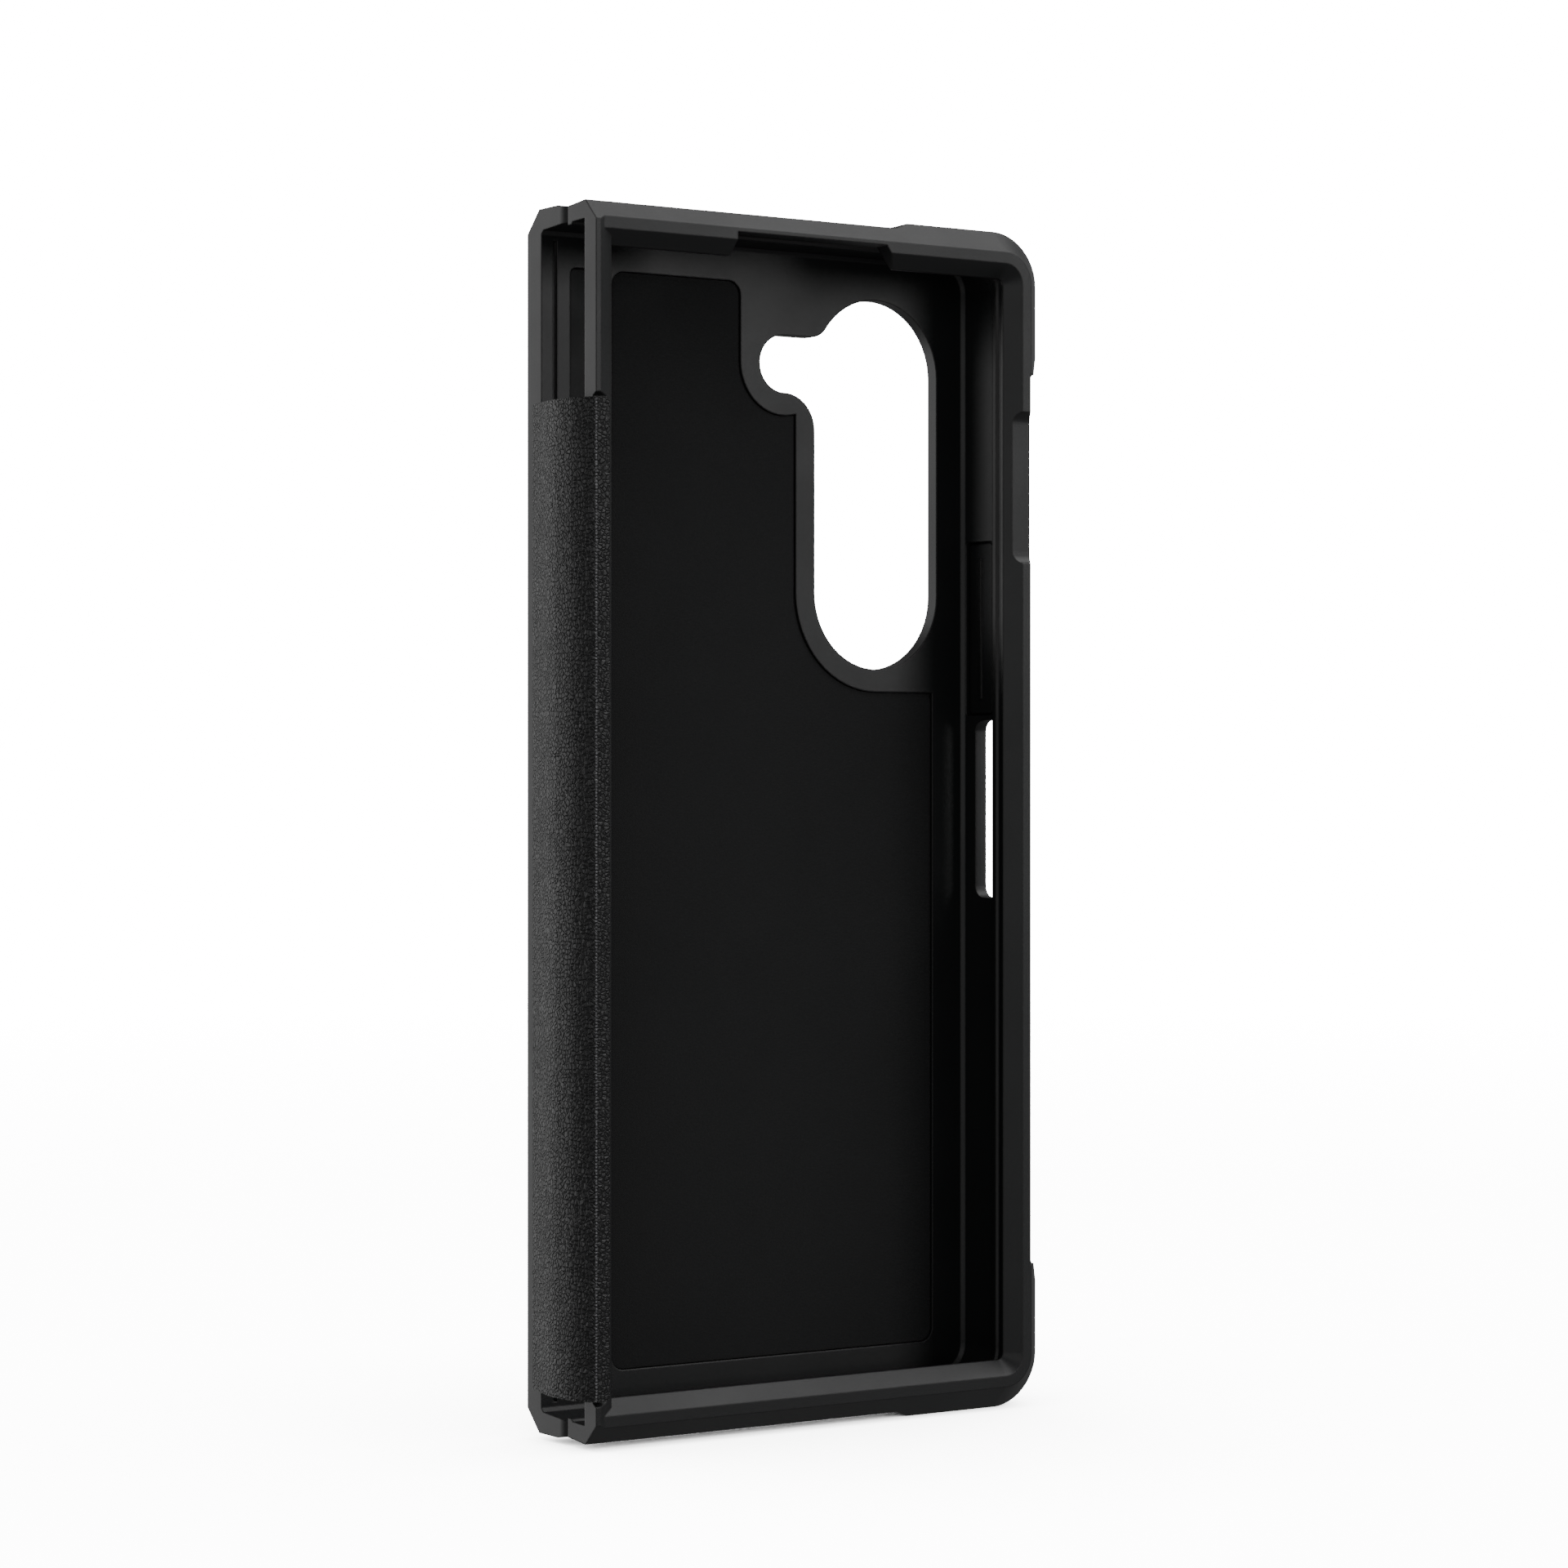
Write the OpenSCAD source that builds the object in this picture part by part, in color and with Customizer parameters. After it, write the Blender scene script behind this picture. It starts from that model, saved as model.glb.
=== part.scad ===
// Two-part protective case for a book-style folding phone, with a leather spine.
// Frame: X runs from the hinge end to the side wall, +Y to the back, +Z up.
// The case stands on its bottom bumpers, folded shut. v is a depth from the front face,
// u a distance outward past the hinge end.

/* [Overall size] */
// Height of the body between its flat top and bottom
case_h = 160; // [133:0.5:192]
// Width from the open hinge end to the face of the side bumpers
case_w = 73.4; // [60:0.1:88]
// Depth from the front bezel to the back
case_t = 17.2; // [16:0.1:20.6]
// Depth of the front frame, from its front face to the parting line
front_depth = 6.9; // [6:0.1:8]
// Gap between the two shells at the parting line
parting_gap = 0.2; // [0.1:0.05:0.4]

/* [Shells] */
// Thickness of the top, bottom and side walls
wall = 2.4; // [2:0.1:2.9]
// Thickness of the back plate under the leather panel
plate_t = 2; // [1.7:0.05:2.4]
// Outside radius of the two far corners
corner_r = 7.2; // [6:0.1:8.6]
// Chamfer round the front face
front_chamfer = 2.64; // [2.3:0.02:3.1]
// Chamfer round the back face
rear_chamfer = 3; // [2.5:0.1:3.6]
// Chamfer between the back plate and the walls inside
root_fillet = 0.5; // [0.3:0.1:0.7]
// Width lost by each wall's inside between the parting line and the plate
draft = 0.4; // [0.2:0.05:0.6]
// How far each wall's outside falls in towards the parting line
crown = 0.4; // [0.2:0.05:0.6]

/* [Bumpers] */
// Height of the bumpers above the top and bottom faces
bumper = 0.9; // [0.7:0.1:1.1]
// Height of the bumpers beyond the side wall
side_bumper = 1.9; // [1.6:0.1:2.2]
// Length of the bumpers along the top and bottom, with the ramp
bumper_len = 24.15; // [20:0.05:29]
// Length of the bumpers down the side, with the ramp
side_bumper_len = 19.7; // [16.5:0.1:23.6]
// Length of the ramp at the end of a top or bottom bumper
bumper_ramp = 2.4; // [1.5:0.1:3]
// Length of the ramp at the end of a side bumper
side_ramp = 3.6; // [2.5:0.1:4.4]

/* [Front window] */
// Width of the flat band round the window
band = 1.55; // [1.3:0.05:1.85]
// How far that band lies below the face of the bar at the hinge end
band_drop = 0.42; // [0.35:0.01:0.5]
// Slope from the band down to the screen
window_chamfer = 1.95; // [1.65:0.05:2.2]
// Thickness of the lip that holds the screen's edge
lip_t = 2.8; // [2.6:0.1:3.4]
// Radius of the window's corners at the front
window_r = 3.3; // [2.8:0.1:4]
// Width of the bar at the hinge end
bar_w = 3.12; // [2.9:0.01:3.9]
// Flat edge of that bar before its ramp starts
bar_edge = 0.72; // [0.6:0.01:0.86]
// Fall of the ramp across the bar
bar_fall = 1.3; // [1.1:0.05:1.55]

/* [Front reliefs] */
// Length of the earpiece relief at its narrow top
earpiece_l = 24; // [20:0.5:29]
// Distance from the hinge end to the earpiece relief
earpiece_inset = 22.1; // [18.5:0.1:26]
// Slant of the earpiece relief's outer end
earpiece_slant = 3; // [2.5:0.1:3.6]
// Distance from the top face down to the earpiece relief
earpiece_drop = 2.75; // [2.6:0.05:3.2]
// Length of the thumb scoop in the side band
scoop_l = 21; // [17:0.5:25]
// Depth of the thumb scoop
scoop_d = 1.45; // [1.2:0.05:1.7]
// Distance from the top face to the middle of the thumb scoop
scoop_drop = 34.4; // [32:0.1:41]

/* [Camera cut-out] */
// Width of the lens opening
camera_w = 20.6; // [17:0.1:24]
// Height of the lens opening
camera_h = 50.9; // [43:0.1:60]
// Distance from the side bumper face to the middle of the lens opening
camera_side = 19.7; // [18.4:0.1:23.4]
// Distance from the top face to the middle of the lens opening
camera_drop = 33.9; // [32:0.1:40]
// Radius of the flash lobe
flash_r = 3.9; // [3.3:0.1:4.6]
// Distance from the middle of the lens opening across to the flash lobe
flash_reach = 15.4; // [14:0.1:18]
// Distance from the top of the lens opening down to the middle of the flash lobe
flash_drop = 9.6; // [8.2:0.1:11.5]

/* [Keys and ports] */
// Length of the volume key
key_l = 19.6; // [16:0.1:23.5]
// Width of the volume key
key_w = 3.8; // [3.2:0.1:4]
// How far the volume key stands out of the side wall
key_out = 0.6; // [0.5:0.05:0.8]
// Distance the volume key presses in
key_travel = 0.4; // [0.3:0.05:0.45]
// Distance from the top face to the middle of the volume key
key_drop = 53.5; // [48:0.1:58]
// Length of the open notch for the power key
power_l = 24.7; // [20:0.1:29]
// Depth of that notch below the parting line
power_d = 3.9; // [3.2:0.1:4.7]
// Distance from the top face to the middle of the power notch
power_drop = 78.6; // [77:0.1:86]
// Distance from the hinge end to the middle of the charging port
port_inset = 35; // [30:0.5:40]
// Length of the charging port's opening
port_l = 13; // [11:0.1:15.6]
// Height of the charging port's opening
port_w = 4.8; // [4:0.1:5.2]
// Length of the speaker slots
speaker_l = 9; // [7.5:0.1:10.8]
// Width of the speaker slots
speaker_w = 1.8; // [1.5:0.1:2.2]

/* [Linings] */
// Thickness of the inner lining and the hinge pad
lining_t = 0.5; // [0.4:0.05:0.6]
// Depth of the pockets that they lie in
lining_pocket = 0.8; // [0.65:0.05:0.95]
// Distance from the hinge end to the inner lining
lining_inset = 10.9; // [10.5:0.1:13]
// Distance from the hinge end to the hinge pad
pad_inset = 4.5; // [3.8:0.1:4.8]
// Width of the hinge pad
pad_w = 5.4; // [4.5:0.1:5.6]
// Margin between the lining and the top and bottom faces
lining_margin = 7.4; // [6.2:0.1:8.8]
// Rim left round the camera cut-out inside
camera_rim = 3.2; // [2.7:0.1:3.8]
// Margin of the leather back panel from the shell's edges
panel_margin = 6.2; // [5.4:0.1:7.4]
// Thickness of the leather back panel
panel_t = 1.3; // [1.1:0.05:1.5]
// Thickness of every adhesive film
film_t = 0.2; // [0.15:0.05:0.24]
// Width of the adhesive strips on the top, bottom and bar of the front lip
strip_w = 1.7; // [1.4:0.1:2]

/* [Leather spine] */
// Bulge of the spine past the hinge end
spine_bulge = 2.3; // [2.1:0.05:2.7]
// Gap from the top face down to the spine
spine_top = 25.6; // [21:0.1:31]
// Gap from the bottom face up to the spine
spine_bottom = 5.8; // [4.8:0.1:7]
// Thickness of the spine leather
leather_t = 0.5; // [0.4:0.05:0.55]
// Thickness of the spine's fabric lining
spine_lining_t = 0.22; // [0.18:0.01:0.25]
// Width of the leather flap glued on the front bar
flap_w = 2.1; // [1.75:0.05:2.5]
// Thickness of the leather flap
flap_t = 0.75; // [0.6:0.05:0.9]
// How far the flap stands above the front face
flap_proud = 0.2; // [0.1:0.05:0.3]
// Depth of the leather's root inside the back plate
root_depth = 4.3; // [3.5:0.1:4.6]

/* [Hidden] */
$fn = 64;

eps = 0.01;
far = 60;
clear = 0.15;

// Where the case lies: centred in X and Y, standing on Z = 0.
x_end = spine_bulge - (case_w + spine_bulge) / 2;
x_out = x_end + case_w;
x_side = x_out - side_bumper;
x_in = x_side - wall;
y_front = flap_proud - (case_t + flap_proud) / 2;
y_back = y_front + case_t;
y_part = y_front + front_depth;
y_rear = y_part + parting_gap;
y_skin = y_back - panel_t - film_t - 0.05;
y_plate = y_skin - plate_t;
z_bot = bumper;
z_top = z_bot + case_h;

// The chamfers at bumper height, and the square edge that they start from.
front_c = front_chamfer + bumper;
rear_c = rear_chamfer + bumper;
bumper_plane = 0.3;
x_block = x_out + bumper_plane;
x_band = x_block - front_c;
block_r = corner_r + bumper_plane;
inner_r = corner_r - wall - 0.6;

// The front window.
win_drop = window_chamfer + band_drop;
win_x = x_band + 2 * band_drop - band;
win_z0 = z_bot + front_chamfer - 2 * band_drop + band;
win_z1 = z_top - front_chamfer + 2 * band_drop - band;
bar_x = x_end + bar_w;

// The camera cut-out, in X and Z.
cam_r = camera_w / 2;
cam_x = x_out - camera_side;
cam_z = z_top - camera_drop;
cam_z1 = cam_z + camera_h / 2 - cam_r;
cam_z0 = cam_z - camera_h / 2 + cam_r;
flash_x = cam_x - flash_reach;
flash_z = cam_z + camera_h / 2 - flash_drop;
flash_fillet = 3;
flash_cove = 5;

// The linings.
lining_z0 = z_bot + lining_margin;
lining_z1 = z_top - lining_margin;
lining_x1 = x_in - 5.9;
lining_r = 1.8;

// The side, top and bottom features.
earpiece_x = x_end + earpiece_inset + earpiece_l / 2;
scoop_z = z_top - scoop_drop;
scoop_r = 1.75;
key_z = z_top - key_drop;
key_y = y_rear + 3.1;
flange_t = 0.6;
flange_rim = 0.6;
flange_long = 2;
rib_t = 0.2;
pocket_d = 0.8;
power_z = z_top - power_drop;
power_r = 1.6;
port_x = x_end + port_inset;
port_y = y_plate - port_w / 2 - 0.15;

// The leather spine: pivots and section, as (u, v) from the hinge end's front corner.
leaf_t = leather_t + spine_lining_t;
spine_z0 = z_bot + spine_bottom;
spine_z1 = z_top - spine_top;
root_v = case_t - 2.05;
rear_pivot = [0.45, root_v];
front_pivot = [0.45, 0.2];
crest = [spine_bulge - leaf_t, (rear_pivot[1] + front_pivot[1]) / 2 + 0.67];
leaf_gap = 0.35;
leaf_start = 0.8;
leaf_foot = 0.1;
flap_recess = flap_t - flap_proud + film_t;

// Places a flat outline of (y, z) points along X.
module prism_x(pts, x0, x1) {
    translate([x0, 0, 0]) rotate([90, 0, 90]) linear_extrude(x1 - x0) polygon(pts);
}

// Places a flat outline of (x, y) points along Z.
module prism_z(pts, z0, z1) {
    translate([0, 0, z0]) linear_extrude(z1 - z0) polygon(pts);
}

// Extrudes its children, drawn in X and Z, from y0 to y1.
module slab_y(y0, y1) {
    translate([0, y1, 0]) rotate([90, 0, 0]) linear_extrude(y1 - y0) children();
}

// Extrudes its children, drawn in Y and Z, from x0 to x1.
module slab_x(x0, x1) {
    translate([x0, 0, 0]) rotate([90, 0, 90]) linear_extrude(x1 - x0) children();
}

// A block with a square hinge end and two round far corners. Its profile is a list of
// [y, inset]: how far the top, bottom and side lie in from the box at each depth.
module block(x0, x1, z0, z1, r, profile) {
    n = len(profile);
    function back_to_front(i) = profile[n - 1 - i];
    upper = [for (p = profile) [p[0], z1 - p[1]]];
    lower = [for (i = [0:n - 1]) [back_to_front(i)[0], z0 + back_to_front(i)[1]]];
    side = [for (p = profile) [x1 - p[1], p[0]]];
    disc = [for (p = profile) [r - p[1], p[0]]];
    prism_x(concat(upper, lower), x0, x1 - r);
    prism_z(concat([[x1 - r - 1, profile[0][0]]], side, [[x1 - r - 1, profile[n - 1][0]]]),
        z0 + r, z1 - r);
    for (z = [z0 + r, z1 - r])
        translate([x1 - r, 0, z]) rotate([-90, 0, 0]) rotate_extrude()
            polygon(concat([[0, profile[0][0]]], disc, [[0, profile[n - 1][0]]]));
}

// The room outside the body that leaves the bumpers standing proud.
module bumper_relief() {
    slab_y(y_front - 1, y_back + 1) {
        polygon([[x_end - 1, z_top], [x_out - bumper_len, z_top],
            [x_out - bumper_len + bumper_ramp, z_top + bumper],
            [x_out - bumper_len + bumper_ramp, z_top + 9], [x_end - 1, z_top + 9]]);
        polygon([[x_end - 1, z_bot], [x_out - bumper_len, z_bot],
            [x_out - bumper_len + bumper_ramp, z_bot - bumper],
            [x_out - bumper_len + bumper_ramp, z_bot - 9], [x_end - 1, z_bot - 9]]);
        polygon([[x_out + 9, z_bot - 9], [x_out + 9, z_top + 9], [x_out, z_top + 9],
            [x_out, z_top - side_bumper_len + side_ramp], [x_side, z_top - side_bumper_len],
            [x_side, z_bot + side_bumper_len], [x_out, z_bot + side_bumper_len - side_ramp],
            [x_out, z_bot - 9]]);
    }
}

// The wedges that let the flat top and bottom fall towards the parting line.
module crown_wedges(y_flat, y_edge) {
    x1 = x_out - bumper_len;
    prism_x([[y_flat, z_top], [y_edge, z_top - crown], [y_edge, z_top + 1]], x_end - 1, x1);
    prism_x([[y_flat, z_bot], [y_edge, z_bot + crown], [y_edge, z_bot - 1]], x_end - 1, x1);
}

// Rounded rectangle with corners at (x0, z0) and (x1, z1).
module round_rect(x0, x1, z0, z1, r) {
    translate([x0 + r, z0]) square([x1 - x0 - 2 * r, z1 - z0]);
    translate([x0, z0 + r]) square([x1 - x0, z1 - z0 - 2 * r]);
    for (x = [x0 + r, x1 - r], z = [z0 + r, z1 - r]) translate([x, z]) circle(r);
}

// The lens opening and its flash lobe, grown outward by g.
module camera_outline(g) {
    lobe_low = flash_z - flash_r;
    lobe_high = flash_z + flash_r;
    left = cam_x - cam_r;
    fillet_z = lobe_high + flash_fillet;
    fillet_dx = sqrt(pow(cam_r + flash_fillet - 0.004, 2) - pow(fillet_z - cam_z1, 2));
    touch = (cam_r - 1) / (cam_r + flash_fillet);
    for (z = [cam_z0, cam_z1]) translate([cam_x, z]) circle(cam_r + g);
    translate([left - g, cam_z0]) square([camera_w + 2 * g, cam_z1 - cam_z0]);
    translate([flash_x, flash_z]) circle(flash_r + g);
    translate([flash_x, lobe_low - g]) square([cam_x - flash_x, 2 * (flash_r + g)]);
    difference() {
        translate([left - flash_cove, lobe_low - flash_cove])
            square([flash_cove + 1, flash_cove + 1]);
        translate([left - flash_cove, lobe_low - flash_cove]) circle(max(flash_cove - g, 0.1));
    }
    difference() {
        polygon([[cam_x - fillet_dx, fillet_z], [cam_x - fillet_dx, lobe_high - 1],
            [cam_x, lobe_high - 1],
            [cam_x - fillet_dx * touch, cam_z1 + (fillet_z - cam_z1) * touch]]);
        translate([cam_x - fillet_dx, fillet_z]) circle(max(flash_fillet - g, 0.1));
    }
}

// The inner lining's outline, grown outward by g.
module lining_outline(g) {
    ring = cam_r + camera_rim - g;
    lobe = flash_r + camera_rim - g;
    corner = lining_r + g;
    x1 = flash_x - lobe;
    z1 = lining_z1 + g;
    difference() {
        round_rect(x_end + lining_inset - g, lining_x1 + g, lining_z0 - g, z1, corner);
        translate([cam_x, cam_z0]) circle(ring);
        translate([cam_x - ring, cam_z0]) square([far, far]);
        translate([cam_x, cam_z0 - ring]) square([far, far]);
        translate([flash_x, flash_z]) circle(lobe);
        translate([x1, flash_z]) square([far, far]);
        difference() {
            translate([x1 - corner, z1 - corner]) square([corner + 1, corner + 1]);
            translate([x1 - corner, z1 - corner]) circle(corner);
        }
    }
}

// The hinge pad's outline, grown outward by g.
module pad_outline(g) {
    round_rect(x_end + pad_inset - g, x_end + pad_inset + pad_w + g, lining_z0 - g,
        lining_z1 + g, 0.8 + g);
}

// The leather back panel's outline, grown outward by g, without the camera's room.
module panel_outline(g) {
    difference() {
        round_rect(x_end + panel_margin - g, x_side - panel_margin + g,
            z_bot + panel_margin - g, z_top - panel_margin + g, 3 + g);
        camera_outline(2.9 - g);
        translate([cam_x, cam_z0]) square([far, far]);
    }
}

// A round-ended outline of length l along Z and width w along Y, centred at (y, z).
module stadium(y, z, l, w) {
    translate([y, z]) {
        square([w, l - w], center = true);
        for (s = [-1, 1]) translate([0, s * (l - w) / 2]) circle(w / 2);
    }
}

// A round-ended slot of length l along X through a top or bottom wall.
module wall_slot(x, y, z0, z1, l, w) {
    translate([0, 0, z0]) linear_extrude(z1 - z0) {
        translate([x, y]) square([l - w, w], center = true);
        for (s = [-1, 1]) translate([x + s * (l - w) / 2, y]) circle(w / 2);
    }
}

// Everything taken out of the rear shell's inside.
module rear_bay() {
    block(x_end - 1, x_in, z_bot + wall, z_top - wall, inner_r,
        [[y_rear - 1, 0], [y_rear, 0], [y_plate - root_fillet, draft],
            [y_plate, draft + root_fillet]]);
}

// The rounding of the rear arms' end faces beside the parting line.
module arm_rounding() {
    r = 1.8;
    translate([0, 0, z_bot - 5]) difference() {
        translate([x_end - 1, y_rear - 1, 0]) cube([r + 1, r + 1, case_h + 10]);
        translate([x_end + r, y_rear + r, -1]) cylinder(h = case_h + 12, r = r);
    }
}

// The notch for the power key, with the finger relief outside it.
module power_notch() {
    z0 = power_z - power_l / 2;
    relief = 2.2;
    y1 = y_rear + power_d;
    slab_x(x_in - 2, x_out + 1) {
        translate([y_rear - 1, z0]) square([power_d + 1 - power_r, power_l]);
        translate([y_rear - 1, z0 + power_r]) square([power_d + 1, power_l - 2 * power_r]);
        for (z = [z0 + power_r, z0 + power_l - power_r])
            translate([y1 - power_r, z]) circle(power_r);
    }
    slab_x(x_side - 0.8, x_out + 1) {
        translate([y_rear - 1, z0 - relief]) square([power_d + 1, power_l + 2 * relief]);
        translate([y_rear - 1, z0]) square([power_d + 1 + relief, power_l]);
        for (z = [z0, z0 + power_l]) translate([y1, z]) circle(relief);
    }
}

// The outline of the volume key's flange, grown outward by g.
module flange_outline(g) {
    l = key_l + 2 * flange_long + 2 * g;
    w = key_w + 2 * flange_rim + 2 * g;
    translate([key_y, key_z]) {
        square([w, l - 1], center = true);
        square([w - 1, l], center = true);
        for (a = [-1, 1], b = [-1, 1]) translate([a * (w - 1) / 2, b * (l - 1) / 2]) circle(0.5);
    }
}

// The volume key's slot and the pocket for its flange.
module key_slot() {
    slab_x(x_in - 2, x_out + 1) stadium(key_y, key_z, key_l + 2 * clear, key_w + 2 * clear);
    slab_x(x_in - 2, x_in + pocket_d)
        flange_outline(2 * clear);
}

module rear_shell() {
    groove_x = x_end + 1.8;
    groove_w = 0.6;
    color("#242527") difference() {
        block(x_end, x_block, z_bot - bumper, z_top + bumper, block_r,
            [[y_rear, crown], [y_rear + 2.4, 0], [y_back - rear_c, 0], [y_back, rear_c]]);
        bumper_relief();
        crown_wedges(y_rear + 2.4, y_rear - eps);
        rear_bay();
        arm_rounding();
        slab_y(y_skin, y_back + 1) panel_outline(0.1);
        slab_y(y_skin, y_back + 1) camera_outline(3);
        slab_y(y_plate - 1, y_back + 1) camera_outline(0);
        slab_y(y_plate - 1, y_plate + lining_pocket) lining_outline(0.1);
        slab_y(y_plate - 1, y_plate + lining_pocket) pad_outline(0.1);
        translate([groove_x, y_plate - 1, z_bot + 4]) cube([groove_w, 1.4, case_h - 8]);
        power_notch();
        key_slot();
        wall_slot(port_x, port_y, z_bot - 5, z_bot + wall + 2, port_l, port_w);
        wall_slot(port_x + 16, port_y, z_bot - 5, z_bot + wall + 2, speaker_l, speaker_w);
        wall_slot(port_x - 16, port_y, z_top - wall - 2, z_top + 5, speaker_l, speaker_w);
        translate([x_end - 1, y_front + root_v - leaf_t / 2 - 0.05, spine_z0 - 0.1])
            cube([root_depth + 1.1, leaf_t + 0.1, spine_z1 - spine_z0 + 0.2]);
    }
}

module leather_back_panel() {
    color("#2b2b2d") slab_y(y_skin + film_t, y_skin + film_t + panel_t) panel_outline(0);
}

module back_panel_adhesive() {
    color("#8a8a86") slab_y(y_skin, y_skin + film_t) panel_outline(-0.6);
}

module camera_ring() {
    color("#17181a") slab_y(y_skin, y_back - 0.15) difference() {
        camera_outline(2.6);
        camera_outline(1.2);
    }
}

module inner_lining() {
    color("#1a1a1b") slab_y(y_plate + lining_pocket - lining_t, y_plate + lining_pocket)
        lining_outline(0);
}

module hinge_pad() {
    color("#141415") slab_y(y_plate + lining_pocket - lining_t, y_plate + lining_pocket)
        pad_outline(0);
}

module volume_key() {
    x_flange = x_in + pocket_d - 0.05 - flange_t;
    color("#1e1f21") {
        slab_x(x_flange, x_side + key_out) stadium(key_y, key_z, key_l, key_w);
        slab_x(x_flange, x_flange + flange_t) flange_outline(0);
        slab_x(x_flange - rib_t, x_flange + eps) translate([key_y - rib_t, key_z - key_l / 2])
            square([2 * rib_t, key_l]);
    }
}

// Turns (u, v) points into (x, y).
function from_end(pts) = [for (p = pts) [x_end - p[0], y_front + p[1]]];

// A flat leaf from (foot, v0) to the crest at v1, from depth t0 to t1 off its inner face.
module leaf(v0, v1, t0, t1) {
    prism_z(from_end([[leaf_foot + t0, v0], [leaf_foot + t1, v0], [crest[0] + t1, v1],
        [crest[0] + t0, v1]]), spine_z0, spine_z1);
}

module spine_leather_rear() {
    color("#3a3a3c") leaf(rear_pivot[1] - leaf_start, crest[1] + leaf_gap,
        spine_lining_t, leaf_t);
}

module spine_lining_rear() {
    color("#161617") leaf(rear_pivot[1] - leaf_start, crest[1] + leaf_gap, 0, spine_lining_t);
}

module spine_leather_front() {
    color("#3a3a3c") leaf(front_pivot[1] + leaf_start, crest[1] - leaf_gap,
        spine_lining_t, leaf_t);
}

module spine_lining_front() {
    color("#161617") leaf(front_pivot[1] + leaf_start, crest[1] - leaf_gap, 0,
        spine_lining_t);
}

module spine_root() {
    color("#303032") translate([x_end, y_front + root_v - leaf_t / 2, spine_z0])
        cube([root_depth, leaf_t, spine_z1 - spine_z0]);
}

module spine_flap() {
    color("#303032") translate([x_end, y_front - flap_proud, spine_z0])
        cube([flap_w, flap_t, spine_z1 - spine_z0]);
}

module flap_adhesive() {
    color("#8a8a86") translate([x_end + 0.2, y_front + flap_recess - film_t, spine_z0 + 0.5])
        cube([flap_w - 0.4, film_t, spine_z1 - spine_z0 - 1]);
}

// The window, its sloped edge and the ramped bar beside the hinge end.
module window_cut() {
    profile = [[y_front - 1, -1], [y_front + win_drop, win_drop],
        [y_front + lip_t + 1, win_drop]];
    ramp_x = x_end + bar_edge;
    band_x = ramp_x + (bar_x - ramp_x) * band_drop / bar_fall;
    block(bar_x, win_x, win_z0, win_z1, window_r, profile);
    intersection() {
        block(ramp_x - 1, win_x, win_z0, win_z1, window_r, profile);
        prism_z([[ramp_x, y_front], [bar_x + eps, y_front + bar_fall],
            [bar_x + eps, y_front - 1], [ramp_x, y_front - 1]], win_z0 - 1, win_z1 + 1);
    }
    prism_z([[ramp_x, y_front], [band_x, y_front + band_drop],
        [x_block + 1, y_front + band_drop], [x_block + 1, y_front - 1], [ramp_x, y_front - 1]],
        z_bot - 9, z_top + 9);
}

// The shallow bed for the leather flap across the bar, with sloped ends.
module flap_bed() {
    d = flap_recess;
    prism_x([[y_front - 1, spine_z0 - 1.4], [y_front + d, spine_z0 - 0.25],
        [y_front + d, spine_z1 + 0.25], [y_front - 1, spine_z1 + 1.4]],
        x_end - 1, x_end + flap_w + 0.15);
}

// The relief over the phone's earpiece, wider towards the window.
module earpiece_relief() {
    top = z_top - earpiece_drop;
    low = win_z1 - win_drop - 1;
    half = earpiece_l / 2;
    slab_y(y_front - 1, y_front + lip_t + 0.2)
        polygon([[earpiece_x - half, top], [earpiece_x + half, top],
            [earpiece_x + half + earpiece_slant, low], [earpiece_x - half, low]]);
}

// The thumb scoop: a shallow trough with quarter-round ends across the side band.
module thumb_scoop() {
    steps = 8;
    half = scoop_l / 2;
    upper = [for (i = [0:steps]) [y_front + scoop_d - scoop_d * (1 - cos(90 * i / steps)),
        scoop_z + half - scoop_r + scoop_r * sin(90 * i / steps)]];
    lower = [for (i = [0:steps]) [upper[steps - i][0], 2 * scoop_z - upper[steps - i][1]]];
    prism_x(concat(upper, [[y_front - 1, scoop_z + half], [y_front - 1, scoop_z - half]],
        lower), win_x - win_drop - 1, x_out + 2);
}

module front_frame() {
    tongue = 0.45;
    color("#2a2b2d") difference() {
        block(x_end, x_block, z_bot - bumper, z_top + bumper, block_r,
            [[y_front, front_c], [y_front + front_c, 0], [y_part, crown]]);
        bumper_relief();
        crown_wedges(y_front + front_chamfer, y_part + eps);
        prism_z([[x_band, y_front - eps], [x_out + 1, y_front - eps], [x_out + 1, y_front + 2.3],
            [x_side, y_front + 2.3]], z_bot + side_bumper_len - 1,
            z_top - side_bumper_len + 1);
        block(x_end - 1, x_in, z_bot + wall, z_top - wall, inner_r,
            [[y_front + lip_t, 0], [y_part - 1.1, 0.1], [y_part - 0.8, tongue],
                [y_part + 1, tongue]]);
        window_cut();
        flap_bed();
        earpiece_relief();
        thumb_scoop();
    }
}

// An adhesive strip on the back of the front lip.
module strip(x0, x1, z0, z1) {
    translate([x0, y_front + lip_t, z0]) cube([x1 - x0, film_t, z1 - z0]);
}

module adhesive_strip_top_inner() {
    z = z_top - wall - 0.6;
    color("#8a8a86") strip(x_end + 5, earpiece_x - earpiece_l / 2 - 4, z - strip_w, z);
}

module adhesive_strip_top_outer() {
    z = z_top - wall - 0.6;
    color("#8a8a86") strip(earpiece_x + earpiece_l / 2 + 4, x_in - 5, z - strip_w, z);
}

module adhesive_strip_bottom() {
    z = z_bot + wall + 0.6;
    color("#8a8a86") strip(x_end + 5, x_in - 5, z, z + strip_w);
}

module adhesive_strip_side() {
    color("#8a8a86") strip(win_x - win_drop + 0.25, x_in - 0.4, z_bot + 8,
        scoop_z - scoop_l / 2 - 2);
}

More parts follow.
